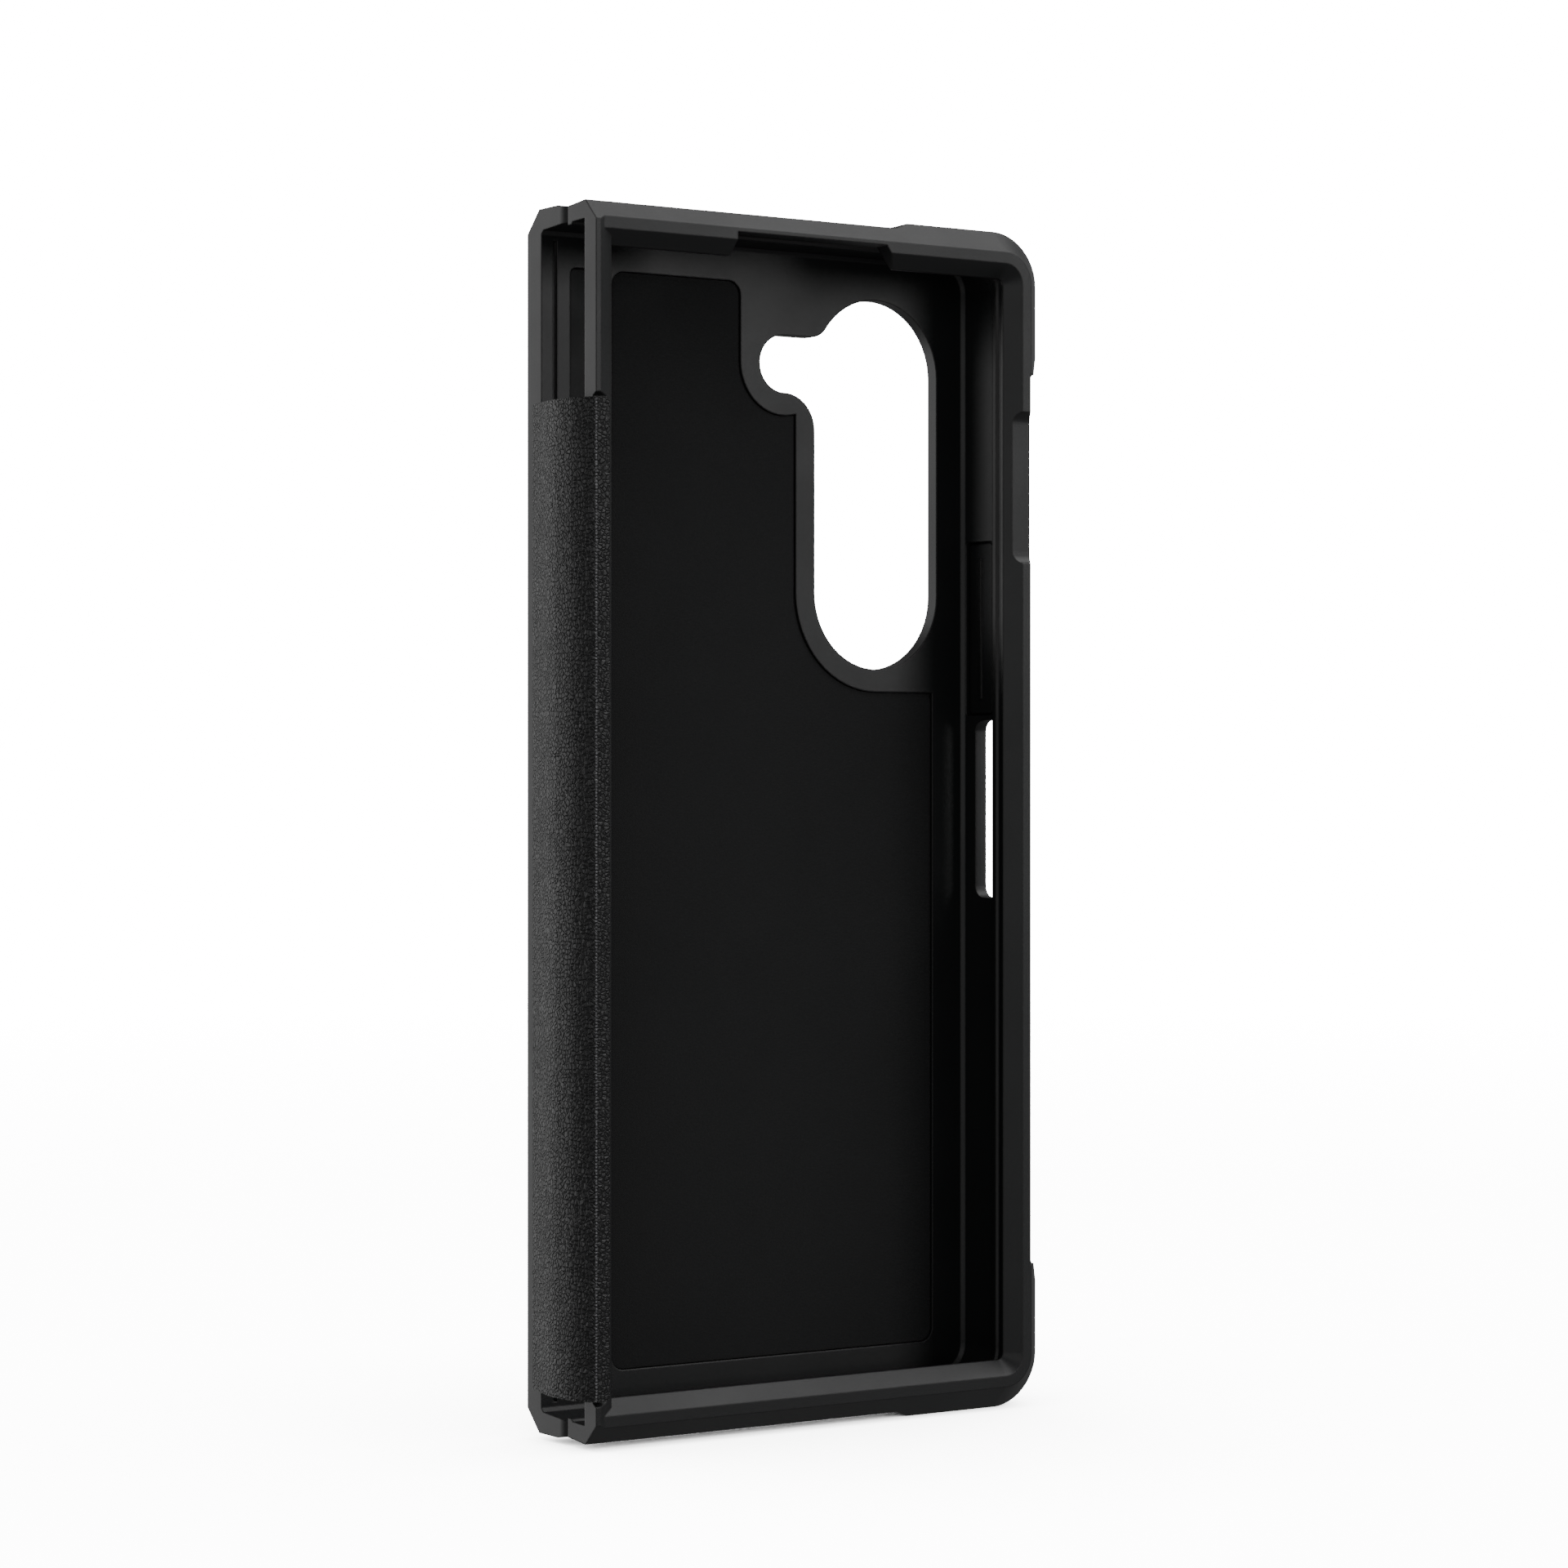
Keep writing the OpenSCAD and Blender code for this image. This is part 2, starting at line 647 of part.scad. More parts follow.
module adhesive_strip_bar() {
    color("#8a8a86") strip(x_end + 0.7, x_end + 0.7 + strip_w, z_bot + 6, z_top - 6);
}

rear_shell();
leather_back_panel();
back_panel_adhesive();
camera_ring();
inner_lining();
hinge_pad();
volume_key();
spine_root();
spine_leather_rear();
spine_lining_rear();
spine_leather_front();
spine_lining_front();
front_frame();
adhesive_strip_top_inner();
adhesive_strip_top_outer();
adhesive_strip_bottom();
adhesive_strip_side();
adhesive_strip_bar();
spine_flap();
flap_adhesive();
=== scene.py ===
"""Hinged case for a book-style folding phone: leather spine, linings, finishes and studio."""

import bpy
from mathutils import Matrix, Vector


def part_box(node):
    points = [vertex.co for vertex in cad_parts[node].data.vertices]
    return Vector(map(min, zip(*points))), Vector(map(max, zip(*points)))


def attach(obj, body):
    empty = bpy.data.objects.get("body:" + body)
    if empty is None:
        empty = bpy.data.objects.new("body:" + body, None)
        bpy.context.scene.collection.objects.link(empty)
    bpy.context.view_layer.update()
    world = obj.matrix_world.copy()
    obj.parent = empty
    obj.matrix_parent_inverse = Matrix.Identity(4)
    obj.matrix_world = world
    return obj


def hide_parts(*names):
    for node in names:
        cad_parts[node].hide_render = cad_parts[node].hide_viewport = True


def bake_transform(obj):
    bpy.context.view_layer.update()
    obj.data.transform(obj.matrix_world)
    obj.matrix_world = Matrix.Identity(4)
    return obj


bl_info = {
    "name": "Folding Phone Case",
    "version": (1, 0, 0),
    "blender": (4, 5, 0),
    "location": "View3D > Sidebar > Phone Case",
    "description": "Builds the leather, linings and finishes of a hinged folding-phone case",
    "category": "Object",
}

import math

import bmesh
import bpy
import numpy as np

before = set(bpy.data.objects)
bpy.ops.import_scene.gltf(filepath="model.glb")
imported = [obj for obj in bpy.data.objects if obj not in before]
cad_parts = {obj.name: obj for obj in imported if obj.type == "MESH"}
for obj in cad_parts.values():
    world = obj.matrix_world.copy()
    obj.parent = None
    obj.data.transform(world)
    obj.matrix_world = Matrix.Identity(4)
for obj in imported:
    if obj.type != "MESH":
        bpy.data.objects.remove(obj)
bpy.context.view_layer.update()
MM = 0.001


def hex_colour(text):
    """An sRGB hex value as linear red, green and blue: (c / 12.92) below 0.04045, else a 2.4 power."""
    srgb = [int(text[i : i + 2], 16) / 255 for i in (0, 2, 4)]
    return [c / 12.92 if c <= 0.04045 else ((c + 0.055) / 1.055) ** 2.4 for c in srgb]


def box_mm(node):
    """Lowest and highest corner of a CAD node, in millimetres."""
    low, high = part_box(node)
    return np.array(low) / MM, np.array(high) / MM


# Places that the linings and the leather take from the CAD frame, in millimetres.
X_END = box_mm("rear_shell")[0][0]
Y_FRONT = box_mm("front_frame")[0][1]
RING_LOW, RING_HIGH = box_mm("camera_ring")
LEAF_LOW, LEAF_HIGH = box_mm("spine_leather_rear")
FLAP_LOW, FLAP_HIGH = box_mm("spine_flap")
Y_ROOT = box_mm("spine_root")[1][1]
CREST_Y = (LEAF_LOW[1] + box_mm("spine_leather_front")[1][1]) / 2
# The ring's width, the openings' radii, and the margins that the panels keep round them.
RING_OFFSET = 2.6
FLASH_DROP = 9.6
PANEL_MARGIN = 2.9
LINING_MARGIN = 3.2
LENS_R = 10.3
FLASH_R = 3.9
LENS_X = RING_HIGH[0] - RING_OFFSET - LENS_R
LENS_TOP = RING_HIGH[2] - RING_OFFSET - LENS_R
LENS_LOW = RING_LOW[2] + RING_OFFSET + LENS_R
FLASH_X = RING_LOW[0] + RING_OFFSET + FLASH_R
FLASH_Z = RING_HIGH[2] - RING_OFFSET - FLASH_DROP
# Smooth leather inside the rear shell's slit, and how the flap's cut edge rounds over.
SLIT_LENGTH = 4.4
EDGE_REACH = 0.4
EDGE_DROP = 0.16


# ---------------------------------------------------------------- sizes and colours


class SpineSizes(bpy.types.PropertyGroup):
    leather: bpy.props.FloatProperty(
        name="Leather", description="Thickness of the spine leather",
        default=0.5 * MM, min=0.2 * MM, max=0.8 * MM, unit="LENGTH", precision=5)
    lining: bpy.props.FloatProperty(
        name="Lining", description="Thickness of the cloth behind the spine leather",
        default=0.22 * MM, min=0.1 * MM, max=0.4 * MM, unit="LENGTH", precision=5)
    grain: bpy.props.FloatProperty(
        name="Grain", description="Width of one pebble of the leather's grain",
        default=0.85 * MM, min=0.3 * MM, max=2 * MM, unit="LENGTH", precision=5)
    relief: bpy.props.FloatProperty(
        name="Relief", description="Depth of the creases between pebbles",
        default=0.035 * MM, min=0, max=0.2 * MM, unit="LENGTH", precision=6)
    pore: bpy.props.FloatProperty(
        name="Pore", description="Width of one fine pebble between the larger ones",
        default=0.58 * MM, min=0.2 * MM, max=1 * MM, unit="LENGTH", precision=5)
    corner: bpy.props.FloatProperty(
        name="Flap corner", description="Radius of the corners of the glued flap",
        default=0.8 * MM, min=0, max=2 * MM, unit="LENGTH", precision=5)


class LiningSizes(bpy.types.PropertyGroup):
    edge: bpy.props.FloatProperty(
        name="Soft edge", description="Radius of the soft edge round each lining",
        default=0.1 * MM, min=0.05 * MM, max=0.4 * MM, unit="LENGTH", precision=5)
    panel_edge: bpy.props.FloatProperty(
        name="Back panel edge", description="Radius of the turned edge of the back panel",
        default=0.5 * MM, min=0.1 * MM, max=0.9 * MM, unit="LENGTH", precision=5)


def colour_property(name, description, text):
    return bpy.props.FloatVectorProperty(
        name=name, description=description, subtype="COLOR", size=3, min=0, max=1,
        default=hex_colour(text))


class CaseColours(bpy.types.PropertyGroup):
    shell: colour_property("Shell", "Soft-touch polycarbonate of both shells", "1a1b1c")
    leather: colour_property("Leather", "Top of the leather's grain", "222223")
    # The crease colour darkens the creases of the leather's grain: painted shade.
    crease: colour_property("Crease", "Creases of the leather's grain", "0c0c0d")
    suede: colour_property("Suede", "Microfibre of the inner lining", "1a1a1b")
    pad: colour_property("Pad", "Silicone of the hinge pad", "0e0e0f")
    key: colour_property("Key", "Rubber of the volume key", "1b1c1d")
    film: colour_property("Film", "Liner of the adhesive strips", "8f8f8a")
    floor: colour_property("Floor", "Studio floor", "f4f4f4")


# ---------------------------------------------------------------- meshes


def smooth_curve(points, count):
    """A Catmull-Rom curve through the points, then spaced evenly along its own length:
    between two points a and b, with neighbours p and n, it is
    a + t (b - p) / 2 + t^2 (2 p - 5 a + 4 b - n) / 2 + t^3 (3 a - p - 3 b + n) / 2."""
    pts = np.asarray(points, float)
    ends = np.vstack([2 * pts[0] - pts[1], pts, 2 * pts[-1] - pts[-2]])
    t = np.linspace(0, 1, 60, endpoint=False)[None, :, None]
    p, a, b, n = (ends[i : len(ends) - 3 + i, None, :] for i in range(4))
    run = a + t * (b - p) / 2 + t**2 * (2 * p - 5 * a + 4 * b - n) / 2
    run = (run + t**3 * (3 * a - p - 3 * b + n) / 2).reshape(-1, 2)
    run = np.vstack([run, pts[-1]])
    along = np.concatenate([[0], np.cumsum(np.linalg.norm(np.diff(run, axis=0), axis=1))])
    at = np.linspace(0, along[-1], count)
    return np.stack([np.interp(at, along, run[:, k]) for k in (0, 1)], axis=1), at


def left_normals(curve):
    """Unit normals on the left of a plane curve: its direction turned a quarter turn."""
    step = np.gradient(curve, axis=0)
    step /= np.linalg.norm(step, axis=1, keepdims=True)
    return np.stack([-step[:, 1], step[:, 0]], axis=1)


def pebbles(s, z, cell):
    """Height of leather grain, 0 in a crease and 1 on top: one seed point per jittered
    square cell, and 1 - exp(-(F2 - F1)^2 / w^2) from the two nearest seeds' distances."""
    rng = np.random.default_rng(20)
    jitter = rng.random((2, 64, 64))
    lift = rng.random((64, 64))
    u, v = s / cell, z / cell
    iu, iv = np.floor(u).astype(int), np.floor(v).astype(int)
    near = np.full(u.shape, 9.0)
    second = np.full(u.shape, 9.0)
    tall = np.zeros(u.shape)
    for du in (-1, 0, 1):
        for dv in (-1, 0, 1):
            cu, cv = (iu + du) % 64, (iv + dv) % 64
            gap = np.hypot(iu + du + 0.1 + 0.8 * jitter[0, cu, cv] - u,
                           iv + dv + 0.1 + 0.8 * jitter[1, cu, cv] - v)
            closer = gap < near
            second = np.where(closer, near, np.minimum(second, gap))
            tall = np.where(closer, lift[cu, cv], tall)
            near = np.where(closer, gap, near)
    return (1 - np.exp(-((second - near) / 0.34) ** 2)) * (0.72 + 0.28 * tall)


def new_piece(name, verts, faces, material, uv=None):
    """A finished mesh object at the origin, with outward faces; verts in millimetres."""
    mesh = bpy.data.meshes.new(name)
    mesh.from_pydata((np.asarray(verts) * MM).tolist(), [], faces)
    if uv is not None:
        layer = mesh.uv_layers.new(name="surface")
        corner = np.zeros(len(mesh.loops), np.int32)
        mesh.loops.foreach_get("vertex_index", corner)
        layer.data.foreach_set("uv", (np.asarray(uv) * MM)[corner].astype(np.float32).ravel())
    work = bmesh.new()
    work.from_mesh(mesh)
    bmesh.ops.recalc_face_normals(work, faces=work.faces)
    work.to_mesh(mesh)
    work.free()
    mesh.polygons.foreach_set("use_smooth", np.ones(len(mesh.polygons), bool))
    mesh.set_sharp_from_angle(angle=math.radians(50))
    mesh.materials.append(material)
    piece = bpy.data.objects.new(name, mesh)
    bpy.context.scene.collection.objects.link(piece)
    return piece


def ring_faces(rows, count):
    """Quads between neighbouring closed rings of count points each, and both end caps."""
    i = np.arange(rows - 1)[:, None] * count
    j = np.arange(count)[None, :]
    k = (j + 1) % count
    quads = np.stack([i + j, i + k, i + count + k, i + count + j], axis=-1).reshape(-1, 4)
    last = (rows - 1) * count
    return quads.tolist() + [list(range(count)), list(range(last, last + count))]


def spine_line():
    """The leather's outer face as (u, v): u mm past the hinge end, v mm from the front
    face. It leaves its slit in the rear shell, bulges past the end and folds onto the bar."""
    root_v = Y_ROOT - Y_FRONT
    flap_u = X_END - FLAP_HIGH[0]
    flap_v = FLAP_LOW[1] - Y_FRONT
    return [(-4.2, root_v), (-1.0, root_v), (-0.15, root_v - 0.02), (0.42, root_v - 0.3),
            (0.88, root_v - 1.15), (1.28, 12.7), (1.75, 10.7), (2.2, 8.7), (2.4, 7.2),
            (2.42, 5.4), (2.05, 2.7), (1.15, 0.62), (0.5, flap_v + 0.14),
            (0.0, flap_v + 0.01), (-0.5, flap_v), (flap_u, flap_v)]


def spine_strip(name, part, depth, thickness, grain, relief, corner, step, material, slot):
    """A strip carried along the spine's line, as high as the CAD leaves. Its outer face
    lies depth inside the line and its inner face thickness further. part is rear or
    front of the crest. Pebbles sink the outer face by relief times 1 - pebble height."""
    line, along = smooth_curve(spine_line(), 1600)
    crest = np.argmin(np.abs(line[:, 1] + Y_FRONT - CREST_Y) + 9 * (line[:, 0] < 1))
    span = (0, along[crest]) if part == "rear" else (along[crest], along[-1])
    count = max(int((span[1] - span[0]) / step), 12)
    s = np.linspace(*span, count)
    normal = left_normals(line)
    at = [np.interp(s, along, a) for a in (line[:, 0], line[:, 1], normal[:, 0], normal[:, 1])]
    face, out = np.stack(at[:2], 1), np.stack(at[2:], 1)
    out *= np.sign(out[0] @ np.array([0.0, 1.0])) if part == "rear" else np.sign(
        out[0] @ np.array([1.0, 0.0]))
    coarse = np.unique(np.linspace(0, count - 1, max(count // 3, 8)).astype(int))[::-1]
    rows = int((LEAF_HIGH[2] - LEAF_LOW[2]) / step) + 1
    z = np.linspace(LEAF_LOW[2], LEAF_HIGH[2], rows)[:, None]
    middle = z.mean()
    past = np.clip(corner - (along[-1] - s), 0, corner)
    cut = corner - np.sqrt(np.maximum(corner**2 - past**2, 0))
    squeeze = 1 - cut / (z.max() - middle)
    zz = middle + (z - middle) * squeeze[None, :]
    edge = np.minimum(along[-1] - s, EDGE_REACH)[None, :] / EDGE_REACH
    sink = relief * (1 - pebbles(s[None, :] + 0 * zz, zz, grain)) if relief else 0 * zz
    rounded = EDGE_DROP * (1 - np.sqrt(np.maximum(1 - (1 - edge) ** 2, 0)))
    sink = sink * (s > SLIT_LENGTH)[None, :] + rounded
    outer = face[None] - out[None] * (depth + sink)[..., None]
    inner = (face - out * (depth + thickness))[coarse]
    uv = np.concatenate([np.stack([s[None, :] + 0 * zz, zz], -1),
                         np.stack([s[coarse][None, :] + 0 * zz[:, coarse], zz[:, coarse]], -1)], 1)
    ring = np.concatenate([outer, np.broadcast_to(inner, (rows,) + inner.shape)], 1)
    height = np.concatenate([zz, zz[:, coarse]], 1)
    verts = np.stack([X_END - ring[..., 0], Y_FRONT + ring[..., 1], height], -1)
    count = ring.shape[1]
    piece = new_piece(name, verts.reshape(-1, 3), ring_faces(rows, count), material,
                      uv.reshape(-1, 2))
    return piece, (span[1] - span[0]) * MM


def arcs(parts, step=4):
    """A closed outline from arcs (centre x, centre z, radius, first and last degree), each
    joined to the next by a straight line; falling degrees make a hollow arc."""
    runs = []
    for x, z, r, first, last in parts:
        turn = np.radians(np.linspace(first, last, max(int(abs(last - first) / step), 1) + 1))
        runs.append(np.stack([x + r * np.cos(turn), z + r * np.sin(turn)], 1))
    return np.vstack(runs)


def panel_outline():
    """The back panel's edge: a rounded rectangle that gives way to the camera's island."""
    (x0, _, z0), (x1, _, z1) = box_mm("leather_back_panel")
    ring, lobe = LENS_R + PANEL_MARGIN, FLASH_R + PANEL_MARGIN
    side = math.degrees(math.acos((x1 - LENS_X) / ring))
    low = math.degrees(math.asin((FLASH_Z + lobe - LENS_TOP) / ring))
    high = math.degrees(math.asin((z1 - LENS_TOP) / ring))
    cove = FLASH_Z - FLASH_R - 5
    return arcs([(x0 + 3, z0 + 3, 3, 180, 270), (x1 - 3, z0 + 3, 3, 270, 360),
                 (LENS_X, LENS_LOW, ring, -side, -180),
                 (LENS_X - LENS_R - 5, cove, 2.1, 0, 90),
                 (FLASH_X, FLASH_Z, lobe, 270, 90),
                 (LENS_X, LENS_TOP, ring, 180 - low, 180 - high),
                 (x0 + 3, z1 - 3, 3, 90, 180)])


def lining_outline():
    """The inner lining's edge: it steps down and in round the flash and the lenses."""
    (x0, _, z0), (x1, _, z1) = box_mm("inner_lining")
    ring, lobe, r = LENS_R + LINING_MARGIN, FLASH_R + LINING_MARGIN, 1.8
    right = FLASH_X - lobe
    drop = math.degrees(math.acos((LENS_X - ring - FLASH_X) / lobe))
    return arcs([(x0 + r, z0 + r, r, 180, 270), (x1 - r, z0 + r, r, 270, 360),
                 (x1 - 1.2, LENS_LOW - ring - 1.2, 1.2, 0, 90),
                 (LENS_X, LENS_LOW, ring, 270, 180),
                 (FLASH_X, FLASH_Z, lobe, 360 - drop, 180),
                 (right - r, z1 - r, r, 0, 90), (x0 + r, z1 - r, r, 90, 180)])


def pad_outline():
    """The hinge pad's edge: a narrow rounded rectangle."""
    (x0, _, z0), (x1, _, z1) = box_mm("hinge_pad")
    return arcs([(x0 + 0.8, z0 + 0.8, 0.8, 180, 270), (x1 - 0.8, z0 + 0.8, 0.8, 270, 360),
                 (x1 - 0.8, z1 - 0.8, 0.8, 0, 90), (x0 + 0.8, z1 - 0.8, 0.8, 90, 180)])


def soft_panel(name, outline, back, front, edge, material):
    """A flat panel whose shown edge is rounded: rings of the outline step in by
    edge (1 - cos a) and forward by edge sin a, from its glued back to its shown face.
    A corner steps in along (n1 + n2) / (1 + n1 . n2), from its two sides' normals."""
    step = np.roll(outline, -1, axis=0) - outline
    step /= np.maximum(np.linalg.norm(step, axis=1, keepdims=True), 1e-9)
    after = np.stack([-step[:, 1], step[:, 0]], 1)
    before = np.roll(after, 1, axis=0)
    inward = (before + after) / (1 + np.sum(before * after, axis=1, keepdims=True))
    turn = np.radians(np.linspace(0, 90, 7))
    inset = np.concatenate([[0], edge * (1 - np.cos(turn)), [edge + 0.35]])
    rise = np.sign(front - back) * edge * (1 - np.sin(turn))
    depth = np.concatenate([[back], front - rise, [front]])
    flat = outline[None] + inward[None] * inset[:, None, None]
    verts = np.stack([flat[..., 0], np.broadcast_to(depth[:, None], flat.shape[:2]),
                      flat[..., 1]], -1)
    return new_piece(name, verts.reshape(-1, 3), ring_faces(len(inset), len(outline)),
                     material)


# ---------------------------------------------------------------- materials


def add(tree, kind, links=(), **values):
    """Adds one node: sets its attributes and socket values, then links its inputs.
    links holds (input, source node, output); a value's key is a socket or an attribute."""
    node = tree.nodes.new(kind)
    for key, value in values.items():
        if hasattr(node, key):
            setattr(node, key, value)
    for key, value in values.items():
        if not hasattr(node, key):
            node.inputs[key.replace("_", " ")].default_value = value
    for socket, source, output in links:
        tree.links.new(source.outputs[output], node.inputs[socket])
    return node


def new_material(name):
    material = bpy.data.materials.new(name)
    material.use_nodes = True
    tree = material.node_tree
    tree.nodes.clear()
    return material, tree


def finish_material(tree, links, colour=None, **values):
    """The surface shader and the output; links are (input, source, output) triples."""
    if colour is not None:
        values["Base_Color"] = (*colour, 1)
    shader = add(tree, "ShaderNodeBsdfPrincipled", links, **values)
    add(tree, "ShaderNodeOutputMaterial", [("Surface", shader, "BSDF")])


def ramp(tree, source, output, low, high, first, second):
    """Maps source from low..high onto first..second."""
    return add(tree, "ShaderNodeMapRange", [(0, source, output)], From_Min=low,
               From_Max=high, To_Min=first, To_Max=second)


def band_scale(pitch):
    """The wave texture's scale for bands one pitch apart: it draws sin(20 scale x)."""
    return 2 * math.pi / (20 * pitch)


def scaled(colour, factor):
    return (*[min(c * factor, 1) for c in colour], 1)


def blended(tree, factor, output, first, second):
    """A colour that runs from first to second as the factor rises."""
    node = add(tree, "ShaderNodeMix", data_type="RGBA")
    node.inputs[6].default_value = first
    node.inputs[7].default_value = second
    tree.links.new(factor.outputs[output], node.inputs[0])
    return node


def shell_material(colours):
    """Soft-touch coated polycarbonate, moulded in a spark-eroded tool: an even, very fine
    matt grain with faint drifts in gloss, and edges that are softly broken, not sharp."""
    material, tree = new_material("soft_touch_polycarbonate_moulded")
    place = add(tree, "ShaderNodeTexCoord")
    # Tool grain is about 0.05 mm wide: drawn at 0.22 mm, the least that shows.
    grain = add(tree, "ShaderNodeTexNoise", [("Vector", place, "Object")],
                Scale=1 / (0.22 * MM), Detail=3.0, Roughness=0.6)
    # Drifts in the coating, about 14 mm long.
    drift = add(tree, "ShaderNodeTexNoise", [("Vector", place, "Object")],
                Scale=1 / (14 * MM), Detail=4.0, Roughness=0.55)
    soft = add(tree, "ShaderNodeBevel", samples=6, Radius=0.28 * MM)
    bump = add(tree, "ShaderNodeBump", [("Height", grain, "Fac"), ("Normal", soft, "Normal")],
               Strength=0.22, Distance=0.03 * MM)
    gloss = ramp(tree, drift, "Fac", 0.3, 0.7, 0.40, 0.47)
    tone = blended(tree, drift, "Fac", scaled(colours.shell, 0.88), scaled(colours.shell, 1.12))
    finish_material(tree, [("Normal", bump, "Normal"), ("Roughness", gloss, "Result"),
                           ("Base Color", tone, 2)], IOR=1.5, Specular_IOR_Level=0.5)
    return material


def leather_material(colours, grain, pebble_bump, fold=None):
    """Embossed calf leather with a pebble grain: the creases between pebbles are painted
    darker than the pebble tops, as painted shade, and fine pores break up the shine. fold is
    the place of the sharp fold along the strip, where a row of painted highlights lies on the pebbles."""
    name = "calf_leather_pebbled_" + ("flat" if fold is None else "wrapped")
    material, tree = new_material(name)
    place = add(tree, "ShaderNodeTexCoord")
    output = "Object" if fold is None else "UV"
    cells = add(tree, "ShaderNodeTexVoronoi", [("Vector", place, output)],
                feature="DISTANCE_TO_EDGE", Scale=1 / grain, Randomness=0.9)
    tops = ramp(tree, cells, "Distance", 0.0, 0.22, 0.0, 1.0)
    # Hair pores about 0.12 mm across, drawn at 0.16 mm.
    pores = add(tree, "ShaderNodeTexNoise", [("Vector", place, output)],
                Scale=1 / (0.16 * MM), Detail=4.0, Roughness=0.65)
    # Growth wrinkles about 2.5 mm long.
    wrinkles = add(tree, "ShaderNodeTexNoise", [("Vector", place, output)],
                   Scale=1 / (2.5 * MM), Detail=5.0, Roughness=0.7, Distortion=0.8)
    wear = add(tree, "ShaderNodeTexNoise", [("Vector", place, output)],
               Scale=1 / (9 * MM), Detail=3.0)
    fine = add(tree, "ShaderNodeBump", [("Height", pores, "Fac")], Strength=0.3,
               Distance=0.03 * MM)
    drawn = add(tree, "ShaderNodeBump", [("Height", wrinkles, "Fac"), ("Normal", fine, "Normal")],
                Strength=0.5, Distance=0.25 * MM)
    bump = add(tree, "ShaderNodeBump", [("Height", tops, "Result"), ("Normal", drawn, "Normal")],
               Strength=pebble_bump, Distance=0.16 * MM)
    gloss = ramp(tree, wear, "Fac", 0.3, 0.7, 0.38, 0.48)
    # The creases are painted darker than the pebble tops: painted shade.
    tone = blended(tree, tops, "Result", scaled(colours.crease, 1), scaled(colours.leather, 1))
    if fold is not None:
        split = add(tree, "ShaderNodeSeparateXYZ", [("Vector", place, "UV")])
        gap = add(tree, "ShaderNodeMath", [(0, split, "X")], operation="SUBTRACT")
        gap.inputs[1].default_value = fold
        away = add(tree, "ShaderNodeMath", [(0, gap, "Value")], operation="ABSOLUTE")
        near = ramp(tree, away, "Value", 0.05 * MM, 0.2 * MM, 1.0, 0.0)
        # Painted highlight along the fold: a row of bright dots on the pebbles, 0.42 mm apart.
        row = add(tree, "ShaderNodeTexWave", [("Vector", place, "UV")], bands_direction="Y",
                  Scale=band_scale(0.42 * MM), Distortion=0.6)
        fold_glint = add(tree, "ShaderNodeMath", [(0, near, "Result"), (1, row, "Fac")],
                     operation="MULTIPLY")
        # The leather's colour made twelve times brighter on the row at the fold: the painted
        # highlight.
        fold_glint_tone = blended(tree, fold_glint, "Value", scaled(colours.leather, 1),
                       scaled(colours.leather, 12))
        tree.links.new(tone.outputs[2], fold_glint_tone.inputs[6])
        tone = fold_glint_tone
    finish_material(tree, [("Normal", bump, "Normal"), ("Roughness", gloss, "Result"),
                           ("Base Color", tone, 2)], IOR=1.48)
    return material


def suede_material(colours):
    """Napped microfibre: a short pile that scatters light, with lighter brushed drifts."""
    material, tree = new_material("microfibre_suede_napped")
    place = add(tree, "ShaderNodeTexCoord")
    # Fibres are far finer than this; tufts of them read at about 0.3 mm.
    tuft = add(tree, "ShaderNodeTexNoise", [("Vector", place, "Object")],
               Scale=1 / (0.3 * MM), Detail=6.0, Roughness=0.75)
    brushed = add(tree, "ShaderNodeTexNoise", [("Vector", place, "Object")],
                  Scale=1 / (12 * MM), Detail=3.0, Distortion=0.6)
    bump = add(tree, "ShaderNodeBump", [("Height", tuft, "Fac")], Strength=0.5,
               Distance=0.06 * MM)
    tone = blended(tree, brushed, "Fac", scaled(colours.suede, 0.8), scaled(colours.suede, 1.25))
    finish_material(tree, [("Normal", bump, "Normal"), ("Base Color", tone, 2)],
                    Roughness=0.92, IOR=1.45, Sheen_Weight=0.12, Sheen_Roughness=0.5)
    return material


def cloth_material(colours):
    """Woven lining cloth glued behind the leather: plain weave, threads 0.2 mm apart drawn
    at 0.8 mm, with a dry matt face."""
    material, tree = new_material("polyester_lining_plain_weave")
    place = add(tree, "ShaderNodeTexCoord")
    warp = add(tree, "ShaderNodeTexWave", [("Vector", place, "UV")], bands_direction="X",
               Scale=band_scale(0.8 * MM), Distortion=0.0)
    weft = add(tree, "ShaderNodeTexWave", [("Vector", place, "UV")], bands_direction="Y",
               Scale=band_scale(0.8 * MM), Distortion=0.0)
    cross = add(tree, "ShaderNodeMath", [(0, warp, "Fac"), (1, weft, "Fac")],
                operation="MULTIPLY")
    bump = add(tree, "ShaderNodeBump", [("Height", cross, "Value")], Strength=0.6,
               Distance=0.05 * MM)
    tone = blended(tree, cross, "Value", scaled(colours.suede, 0.7), scaled(colours.suede, 1.3))
    finish_material(tree, [("Normal", bump, "Normal"), ("Base Color", tone, 2)],
                    Roughness=0.85, IOR=1.45, Sheen_Weight=0.1)
    return material


